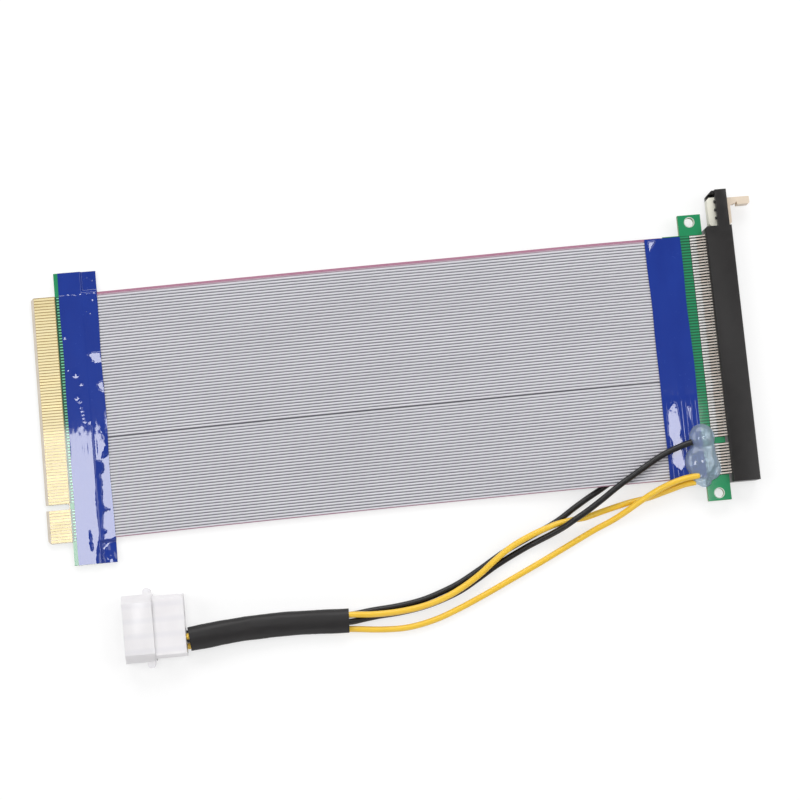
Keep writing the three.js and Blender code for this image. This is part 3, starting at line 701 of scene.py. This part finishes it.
# On the slot board, the film lies flat inside these two X, and is rumpled elsewhere
FLAT_FILM = [
    (17.5, 216.9, 217.1), (16, 215.8, 217.6), (14, 214.3, 217.9),
    (9, 213.9, 218.4), (5.5, 213.8, 218.2), (3, 214.9, 218.2), (0.6, 214.6, 218.1),
    (-1.5, 213.9, 218.3), (-4.4, 214.2, 218.3), (-5.8, 215.6, 217.9), (-7, 217, 217.1),
]
GLINTS = [
    [(222.1, 7.8), (223, 15.4), (220.9, 15.4)],
    [(219.3, -7.4), (220.2, -3.4), (219.9, -2.8), (218.8, -6.4)],
    [(218.6, -0.6), (219.3, 1.6), (218.9, 1.7), (218.3, 0)],
]
# Where the film's upper corner has turned up: outline and slope
TURNED_CORNERS = [
    ([(213.9, 70.2), (214.6, 70.3), (216.5, 73.2), (216.6, 73.9), (213.8, 73.6)], 0.085),
    ([(213.9, 68.4), (214.6, 69), (214, 69.6)], 0.08),
]


def slot_tape_swell(x, y):
    """How far the tape on the slot board stands off, in millimetres."""
    ragged = 0.3 * rumple(x * 0.8, y * 0.6, 19) + 0.14 * rumple(x * 2.2, y * 1.6, 20)
    high = 0.08 + 0.02 * rumple(x * 0.1, y * 0.05, 21) + 0.002 * rumple(x * 1.3, y * 0.6, 23)
    high += 0.03 * hill(x, 218.4 + 0.6 * rumple(1, y * 0.06, 27), 1.1)
    flat = 0
    span = between(y, FLAT_FILM)
    if span and y < 17.5:
        flat = window(x + ragged, *span, 0.25)
    for corners in GLINTS:
        flat = max(flat, inside(x + 0.3 * ragged, y, corners, 0.12))
    low_part = 1 - step(y, 17, 2.5)
    wave = (x + 0.15 * rumple(4, y * 0.12, 26)) / 1.7 % 2
    high += low_part * (1 - flat) * 0.1 * 1.7 * abs(wave - 1)
    high += low_part * flat * (0.08 + 0.004 * rumple(x * 3, y * 1.2, 28))
    for corners, slope in TURNED_CORNERS:
        high += slope * inside(x, y, corners) * (y - corners[0][1])
    return max(high, 0)


def tape(name, node, side, ramp, swell, ribbon_on_right):
    """A strip of tape over its node. ramp is where it steps off the board's end."""
    (x_low, y_low, z_low), (x_high, y_high, z_high) = node_range(node)
    on_ribbon = z_high if side > 0 else z_low
    ribbon_low = FIELD_MIDDLE - (WIDE_WAYS + NARROW_WAYS + BESIDE_GAP) / 2
    ribbon_high = ribbon_low + WIDE_WAYS + NARROW_WAYS + BESIDE_GAP
    on_board = (EDGE_MIDDLE if ribbon_on_right else SLOT_MIDDLE) + side * (BOARD / 2 + SEAT + TAPE)

    def surface(depth):
        def place(u, v):
            x = x_low + u * (x_high - x_low)
            y = y_low + v * (y_high - y_low)
            share = step(x, ramp, 0.6 if ribbon_on_right else 2.6)
            over = share if ribbon_on_right else 1 - share
            base = on_board + over * (on_ribbon - on_board)
            if ribbon_on_right:
                past = max(ribbon_low - y, y - ribbon_high)
                together = ribbon_middle(x) + side * (TAPE + 0.03)
                base += over * step(past, 0.3, 1.1) * (together - base)
            stand = swell(x, y) if side > 0 else 0.4 * swell(x, y)
            if side < 0:
                stand = min(stand, base - TAPE * 0.2) if base > 0 else 0
            wander = 0.35 * rumple(u * 2, y * 0.05, 31) * (1 if u > 0.5 else -1)
            edge = hill(u, 0, 0.2) + hill(u, 1, 0.2)
            return at(x + wander * edge, y, base + side * (stand - depth))
        return place

    grid = (76, 420) if side > 0 else (30, 160)
    form = closed_sheet(*grid, surface(0), surface(TAPE))
    if side < 0:
        bmesh.ops.reverse_faces(form, faces=form.faces)
    smooth(form, 60)
    return piece(name, form, [tape_film], "tape", node)


def tapes():
    for layer, side in (("upper", 1), ("lower", -1)):
        tape(f"board_tape_{layer}", f"edge_tape_{layer}", side, EDGE_BOARD_END,
             edge_tape_swell, True)
        tape(f"solder_tape_{layer}", f"slot_tape_{layer}", side, RIBBON_END,
             slot_tape_swell, False)


# Boards
def edge_board():
    """The card-edge board: green faces, pale cut edges and gold fingers."""
    form = node_form("edge_board")
    face_high = BOARD / 2 + 0.02
    for face in form.faces:
        middle = millimetres(face.calc_center_median())
        raised = abs(middle[2] - EDGE_MIDDLE) > face_high
        flat = abs(face.normal.z) > 0.98
        sloped = abs(face.normal.z) > 0.1 and middle[0] < 1.5
        face.material_index = 2 if raised else (0 if flat else (3 if sloped else 1))
    made = piece("card_edge_board", form, [solder_mask, laminate, gold, bevel_cut], "board",
                 "edge_board")
    round_edges(made, 0.03, 1, soft=False)


def slot_board():
    """The slot board: green faces with traces, and pale cut edges."""
    form = node_form("slot_board")
    for face in form.faces:
        face.material_index = 0 if abs(face.normal.z) > 0.98 else 1
    made = piece("socket_board", form, [solder_mask, laminate], "board", "slot_board")
    round_edges(made, 0.06, 2, soft=False)


def solder_pads():
    """A pad and a small fillet of solder under each of the socket's tails."""
    form = bmesh.new()
    for side in (1, -1):
        for contact in CONTACTS:
            middle = at(TAIL_FOOT_X, SLOT_SHIFT + contact, SLOT_MIDDLE + side * (BOARD / 2 + 0.02))
            pad = bmesh.ops.create_cube(form, size=1)
            bmesh.ops.scale(form, vec=Vector((1.9, 0.62, 0.04)) * MM, verts=pad["verts"])
            bmesh.ops.translate(form, vec=middle, verts=pad["verts"])
            drop = bmesh.ops.create_uvsphere(form, u_segments=10, v_segments=6, radius=1)
            bmesh.ops.scale(form, vec=Vector((0.8, 0.3, 0.22)) * MM, verts=drop["verts"])
            bmesh.ops.translate(form, vec=middle, verts=drop["verts"])
    smooth(form, 50)
    piece("solder_pads", form, [tinned], "pin")


# Socket and latch
def socket():
    """The socket's moulding, with its solder tails in their own finish and their sideways faces
    painted dark as shade.
    """
    form = node_form("slot_housing")
    body_x = SLOT_RIGHT + 0.74
    for face in form.faces:
        x, _, _ = millimetres(face.calc_center_median())
        # Tail faces that point sideways take the dark brown of painted shade.
        shaded = abs(face.normal.y) > 0.6
        face.material_index = 0 if x > body_x else (3 if shaded else (1 if x < TAIL_BEND_X else 2))
    made = piece(
        "card_socket", form, [socket_black, tinned, tail_tin, tail_side_painted_shade], "socket", "slot_housing")
    round_edges(made, 0.07, 2)


def socket_springs():
    """The contact springs that show in the card slit."""
    form = bmesh.new()
    for side in (1, -1):
        for contact in CONTACTS:
            spring = bmesh.ops.create_cube(form, size=1)
            bmesh.ops.scale(form, vec=Vector((5.6, 0.42, 0.12)) * MM, verts=spring["verts"])
            middle = at(
                HOUSING_FRONT - SPRING_INSET, SLOT_SHIFT + contact, SLOT_MIDDLE + side * 0.8)
            bmesh.ops.translate(form, vec=middle, verts=spring["verts"])
    piece("socket_springs", form, [gold], "pin")


def latch():
    """The latch lever, on its own body."""
    form = node_form("latch_lever")
    made = piece("latch_arm", form, [latch_ivory], "latch", "latch_lever", body="latch")
    round_edges(made, 0.18, 3)


# Glue
def glue(name, node, lobes, cut_z, side):
    """A blob of hot glue from overlapping drops, cut flat where it sits."""
    form = bmesh.new()
    for x, y, z, half in lobes:
        drop = bmesh.ops.create_icosphere(form, subdivisions=4, radius=1)
        bmesh.ops.scale(form, vec=Vector(half) * MM, verts=drop["verts"])
        bmesh.ops.translate(form, vec=at(x, y, z), verts=drop["verts"])
    made = piece(name, form, [hot_glue], "glue", node)
    fuse = made.modifiers.new("fuse", "REMESH")
    fuse.mode = "VOXEL"
    fuse.voxel_size = 0.22 * MM
    evaluated = made.evaluated_get(bpy.context.evaluated_depsgraph_get())
    form = bmesh.new()
    form.from_mesh(evaluated.to_mesh())
    made.modifiers.clear()
    for _ in range(24):
        bmesh.ops.smooth_vert(form, verts=form.verts, factor=0.5,
                              use_axis_x=True, use_axis_y=True, use_axis_z=True)
    for vertex in form.verts:
        x, y, z = millimetres(vertex.co)
        ripple = 0.07 * noise.noise(Vector((x * 0.5, y * 0.5, z * 0.5)))
        vertex.co += vertex.normal * ripple * MM
    bmesh.ops.bisect_plane(
        form, geom=form.verts[:] + form.edges[:] + form.faces[:], dist=1e-6,
        plane_co=at(0, 0, cut_z), plane_no=(0, 0, side), clear_inner=True)
    bmesh.ops.holes_fill(form, edges=[edge for edge in form.edges if edge.is_boundary], sides=0)
    bmesh.ops.recalc_face_normals(form, faces=form.faces)
    smooth(form, 60)
    form.to_mesh(made.data)
    form.free()


def glues():
    glue("glue_over_joints", "glue_upper", [
        (225.2, 3.9, 4.5, (4.6, 4.9, 2.9)),
        (224.2, -4.3, 4.5, (5.9, 6.4, 2.9)),
        (223.3, -9.5, 4.5, (3.4, 2.8, 2.2)),
        (225.6, -0.4, 4.4, (4.1, 4.2, 2.2)),
        (227.4, -6.8, 4.4, (3.6, 4.2, 1.5)),
        (224.6, -11.2, 4.3, (2.6, 2.2, 1.3)),
    ], SLOT_TOP + 0.08, 1)
    glue("glue_under_joint", "glue_lower", [
        (224.2, 3.5, 2.7, (5.0, 5.0, 2.4)),
        (222.6, 2.4, 2.6, (4.0, 3.6, 1.8)),
    ], SLOT_BOTTOM - 0.08, -1)


# Power lead
YELLOW_OUTER = [
    (222.6, -9.1, 5.9), (217.6, -9.6, 6.2), (212.9, -10.8, 6.1), (208.5, -12.5, 5.2),
    (205, -14.2, 4.4), (201, -16.4, 3.6), (197.5, -18.5, 2.5), (192, -21.4, 1.3),
    (185.8, -24, 1.1), (176, -28.6, 1.1), (165.5, -33.6, 1.1), (155, -38.4, 1.1),
    (145.3, -42.8, 1.1), (135.7, -46.8, 1.1), (127.8, -49.5, 1.1), (118.5, -51.2, 1.1),
    (110, -51.1, 1.1), (99, -49.9, 1.5),
]
YELLOW_INNER = [
    (221.4, -11.1, 4.6), (217.4, -11.6, 4.3), (214, -12.5, 3.6), (210, -13.6, 2.5),
    (205.4, -14.8, 1.3), (198.3, -15.9, 1.1), (188.7, -18.1, 1.6), (182.4, -19.7, 2.7),
    (178.4, -20.1, 3.2), (173, -20.9, 3.3), (168.7, -22.1, 3.3), (162.3, -24.4, 3.3),
    (155.8, -27.5, 3.3), (150, -31.4, 3.3), (144.3, -35.7, 3.3), (137.7, -39.7, 3.3),
    (131.4, -42.5, 3.3), (124.3, -44.5, 3.3), (115.8, -45.6, 3.4), (107, -45.7, 3.5),
    (99, -45.1, 3.6),
]
BLACK_UPPER = [
    (221.4, 2.6, 6), (217.2, 1.5, 6), (210.8, -0.9, 5.9), (202.4, -5.5, 5.8),
    (194.3, -10.3, 5.7), (188.3, -14.3, 5.6), (182.7, -17.8, 5.5), (178, -20.4, 5.4),
    (174.6, -22.3, 4.8), (170, -24.4, 3.2), (165.5, -26.2, 1.8), (161.4, -27.9, 1.2),
    (151, -32.9, 1.1), (143.8, -37.1, 1.1), (138, -40.3, 1.1), (131.5, -42.8, 1.1),
    (124.3, -44.75, 1.1), (115.8, -45.95, 1.1), (109, -46.4, 1.25), (104, -46.95, 1.7),
    (99, -47.5, 2.5),
]
BLACK_LOWER = [
    (219.6, 3.3, 1.3), (214, 2.2, 1.1), (208, -0.2, 1.1), (201, -3.8, 1.1),
    (195, -7, 1.1), (189.2, -10.4, 1.1), (184.4, -13, 1.1), (179.6, -15.8, 1.1),
    (172.5, -20.2, 1.1), (163.1, -24.4, 1.1), (154, -28.6, 1.1), (144.1, -34.3, 1.1),
    (136.9, -38.1, 1.1), (130.7, -40.5, 1.1), (123.9, -42.5, 1.1), (115.6, -43.75, 1.1),
    (107, -44.35, 1.1), (99, -45.1, 1.3),
]
SLEEVE_ROUTE = [
    (98.7, -47, 2.5), (84.1, -46.2, 2.6), (69.5, -46.1, 3.2), (56.6, -46.9, 4.2),
    (44.8, -48.1, 5.1),
]
LANES = {
    "yellow_outer": (-2.4, -0.5),
    "black_upper": (-0.25, -0.6),
    "black_lower": (1.9, -0.75),
    "yellow_inner": (0.9, 1.2),
}


def smooth_route(points, steps=8):
    """A centripetal curve through the points, as the part's wires follow."""
    points = [Vector(point) for point in points]
    points = [2 * points[0] - points[1], *points, 2 * points[-1] - points[-2]]
    route = []
    for a, b, c, d in zip(points, points[1:], points[2:], points[3:]):
        t1 = (b - a).length ** 0.5
        t2 = t1 + (c - b).length ** 0.5
        t3 = t2 + (d - c).length ** 0.5
        for i in range(steps):
            t = t1 + (t2 - t1) * i / steps
            ab = a.lerp(b, t / t1)
            bc = b.lerp(c, (t - t1) / (t2 - t1))
            cd = c.lerp(d, (t - t2) / (t3 - t2))
            abc = ab.lerp(bc, t / t2)
            bcd = bc.lerp(cd, (t - t1) / (t3 - t1))
            route.append(abc.lerp(bcd, (t - t1) / (t2 - t1)))
    route.append(points[-2])
    return route


def wire(name, node, points, lane, material):
    """A wire from the glue to the sleeve, then in its lane of the sleeve to the plug."""
    in_sleeve = [(x, y + lane[0], z + lane[1]) for x, y, z in SLEEVE_ROUTE[1:]]
    last = in_sleeve[-1]
    in_sleeve.append((PLUG_BACK + 0.15, last[1], last[2]))
    route = smooth_route(points + in_sleeve)
    data = bpy.data.curves.new(name, "CURVE")
    data.dimensions = "3D"
    data.bevel_depth = WIRE / 2 * MM
    data.bevel_resolution = 5
    data.use_fill_caps = True
    spline = data.splines.new("POLY")
    spline.points.add(len(route) - 1)
    for target, point in zip(spline.points, route):
        target.co = (*at(*point), 1)
    spline.use_smooth = True
    data.materials.append(material)
    made = bpy.data.objects.new(name, data)
    bpy.context.scene.collection.objects.link(made)
    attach(made, "riser")
    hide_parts(node)
    length = sum((b - a).length for a, b in zip(route, route[1:])) * MM
    return made, at(*points[0]), length


def sleeve():
    """Shrink tube: an oval pulled in over the wires, with a hollow at each end."""
    route = smooth_route(SLEEVE_ROUTE, 14)
    form = bmesh.new()
    ring = bmesh.ops.create_circle(form, segments=36, radius=1, cap_ends=False)["verts"]

    def lay(verts, centre, ahead, scale):
        side = ahead.cross(Vector((0, 0, 1))).normalized()
        up = side.cross(ahead).normalized()
        for vertex, (a, b) in zip(verts, section):
            hug = 0.16 * noise.noise(Vector((centre.x * 0.16, a * 1.4, b * 1.4)))
            hug += 0.06 * noise.noise(Vector((centre.x * 0.9, a * 3, b * 3)))
            hug -= 0.1 * math.cos(3 * math.atan2(b, a))
            wide = (SLEEVE_WIDTH / 2 + hug - scale) * a
            tall = (SLEEVE_HEIGHT / 2 + hug - scale) * b
            vertex.co = at(*(centre + side * wide + up * tall))

    section = [(vertex.co.x, vertex.co.y) for vertex in ring]
    edges = list({edge for vertex in ring for edge in vertex.link_edges})
    depth, wall, lip = 9, 0.55, 0.5
    stations = [(point, wall) for point in route[depth:0:-1]] + [(route[0], lip)]
    stations += [(point, 0.0) for point in route]
    stations += [(route[-1], lip)] + [(point, wall) for point in route[-2:-depth:-1]]
    aheads = {}
    for before, here, after in zip([route[0], *route], route, [*route[1:], route[-1]]):
        aheads[tuple(here)] = (after - before).normalized()
    centre, inset = stations[0]
    lay(ring, centre, aheads[tuple(centre)], inset)
    for centre, inset in stations[1:]:
        grown = bmesh.ops.extrude_edge_only(form, edges=edges)["geom"]
        edges = [item for item in grown if isinstance(item, bmesh.types.BMEdge)]
        new = {item for item in grown if isinstance(item, bmesh.types.BMVert)}
        ring = [next(
            edge.other_vert(vertex) for edge in vertex.link_edges if edge.other_vert(vertex) in new
        ) for vertex in ring]
        lay(ring, centre, aheads[tuple(centre)], inset)
    bmesh.ops.holes_fill(form, edges=[edge for edge in form.edges if edge.is_boundary], sides=0)
    bmesh.ops.recalc_face_normals(form, faces=form.faces)
    smooth(form, 50)
    return piece("shrink_sleeve", form, [shrink_black], "sleeve", "sleeve")


def plug():
    """The power plug's housing."""
    made = piece("power_plug", node_form("plug_housing"), [nylon], "plug", "plug_housing")
    round_edges(made, 0.25, 3)
    return made


def power_lead():
    """The four wires, the sleeve and the plug, with the plug's pins given a tinned finish."""
    yellow_outer = wire("outer_yellow_wire", "wire_yellow_outer", YELLOW_OUTER,
                        LANES["yellow_outer"], yellow_pvc)
    others = [
        wire("inner_yellow_wire", "wire_yellow_inner", YELLOW_INNER, LANES["yellow_inner"],
             yellow_pvc),
        wire("upper_black_wire", "wire_black_upper", BLACK_UPPER, LANES["black_upper"],
             black_pvc),
        wire("lower_black_wire", "wire_black_lower", BLACK_LOWER, LANES["black_lower"],
             black_pvc),
    ]
    pins = []
    for node in ("plug_pin_supply", "plug_pin_ground_1", "plug_pin_ground_2"):
        pins.append(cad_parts[node])
        pins[-1].data.materials.clear()
        pins[-1].data.materials.append(tinned)
    sleeve()
    plug()


# Bench and light
def bench():
    """A pale floor that renders white to the camera and in reflections, and keeps shadows."""
    form = bmesh.new()
    bmesh.ops.create_grid(form, x_segments=1, y_segments=1, size=3)
    mesh = bpy.data.meshes.new("bench")
    form.to_mesh(mesh)
    form.free()
    s = Shading("bench_white")
    s.nodes.remove(s.surface)
    plain = s.node("ShaderNodeBsdfDiffuse")
    s.feed(plain, Color=(0.8, 0.8, 0.8, 1))
    lit = s.node("ShaderNodeBsdfDiffuse")
    s.feed(lit, Color=(0.42, 0.42, 0.42, 1))
    glow = s.node("ShaderNodeEmission")
    s.feed(glow, Color=(1, 1, 1, 1), Strength=0.62)
    both = s.node("ShaderNodeAddShader")
    s.link(lit.outputs[0], both.inputs[0])
    s.link(glow.outputs[0], both.inputs[1])
    ray = s.node("ShaderNodeLightPath")
    seen = s.maths("MAXIMUM", ray.outputs["Is Camera Ray"], s.maths(
        "MAXIMUM", ray.outputs["Is Glossy Ray"], ray.outputs["Is Transmission Ray"]))
    choice = s.node("ShaderNodeMixShader")
    s.link(seen, choice.inputs[0])
    s.link(plain.outputs[0], choice.inputs[1])
    s.link(both.outputs[0], choice.inputs[2])
    s.link(choice.outputs[0], s.nodes["Material Output"].inputs[0])
    mesh.materials.append(s.material)
    floor = bpy.data.objects.new("bench", mesh)
    bpy.context.scene.collection.objects.link(floor)


def area_light(name, where, size, power, towards=(0, 0, 0)):
    """A softbox that faces a place."""
    data = bpy.data.lights.new(name, "AREA")
    data.shape = "RECTANGLE"
    data.size, data.size_y = size
    data.energy = power
    light = bpy.data.objects.new(name, data)
    light.location = where
    light.rotation_mode = "QUATERNION"
    light.rotation_quaternion = (Vector(towards) - Vector(where)).to_track_quat("-Z", "Y")
    bpy.context.scene.collection.objects.link(light)


def lights():
    area_light("left_softbox", (-1.3, 0.3, 1.2), (1.2, 1.0), 9)
    area_light("right_softbox", (1.3, 0.1, 1.2), (1.2, 1.0), 8)
    area_light("back_softbox", (0.1, 1.4, 1.1), (1.6, 0.9), 16)
    area_light("front_softbox", (0.0, -1.5, 0.8), (1.6, 0.8), 6)
    area_light("board_softbox", (-0.24, -0.014, 1.2), (0.16, 0.272), 1.5, (-0.24, -0.016, 0))
    area_light("joint_softbox", (0.3065, 0.03, 1.2), (0.109, 0.13), 0.5, (0.3065, 0.03, 0))
    world = bpy.data.worlds.new("soft white")
    world.use_nodes = True
    nodes, links = world.node_tree.nodes, world.node_tree.links
    sky = nodes["Background"]
    sky.inputs["Color"].default_value = (1, 1, 1, 1)
    ray = nodes.new("ShaderNodeLightPath")
    strength = nodes.new("ShaderNodeMapRange")
    strength.inputs["To Min"].default_value = 0.2
    strength.inputs["To Max"].default_value = 1.0
    links.new(ray.outputs["Is Camera Ray"], strength.inputs["Value"])
    links.new(strength.outputs[0], sky.inputs["Strength"])
    bpy.context.scene.world = world


power_lead()
ribbons()
tapes()
edge_board()
slot_board()
solder_pads()
socket()
socket_springs()
latch()
glues()
bench()
lights()
bpy.context.scene.view_settings.view_transform = "Standard"
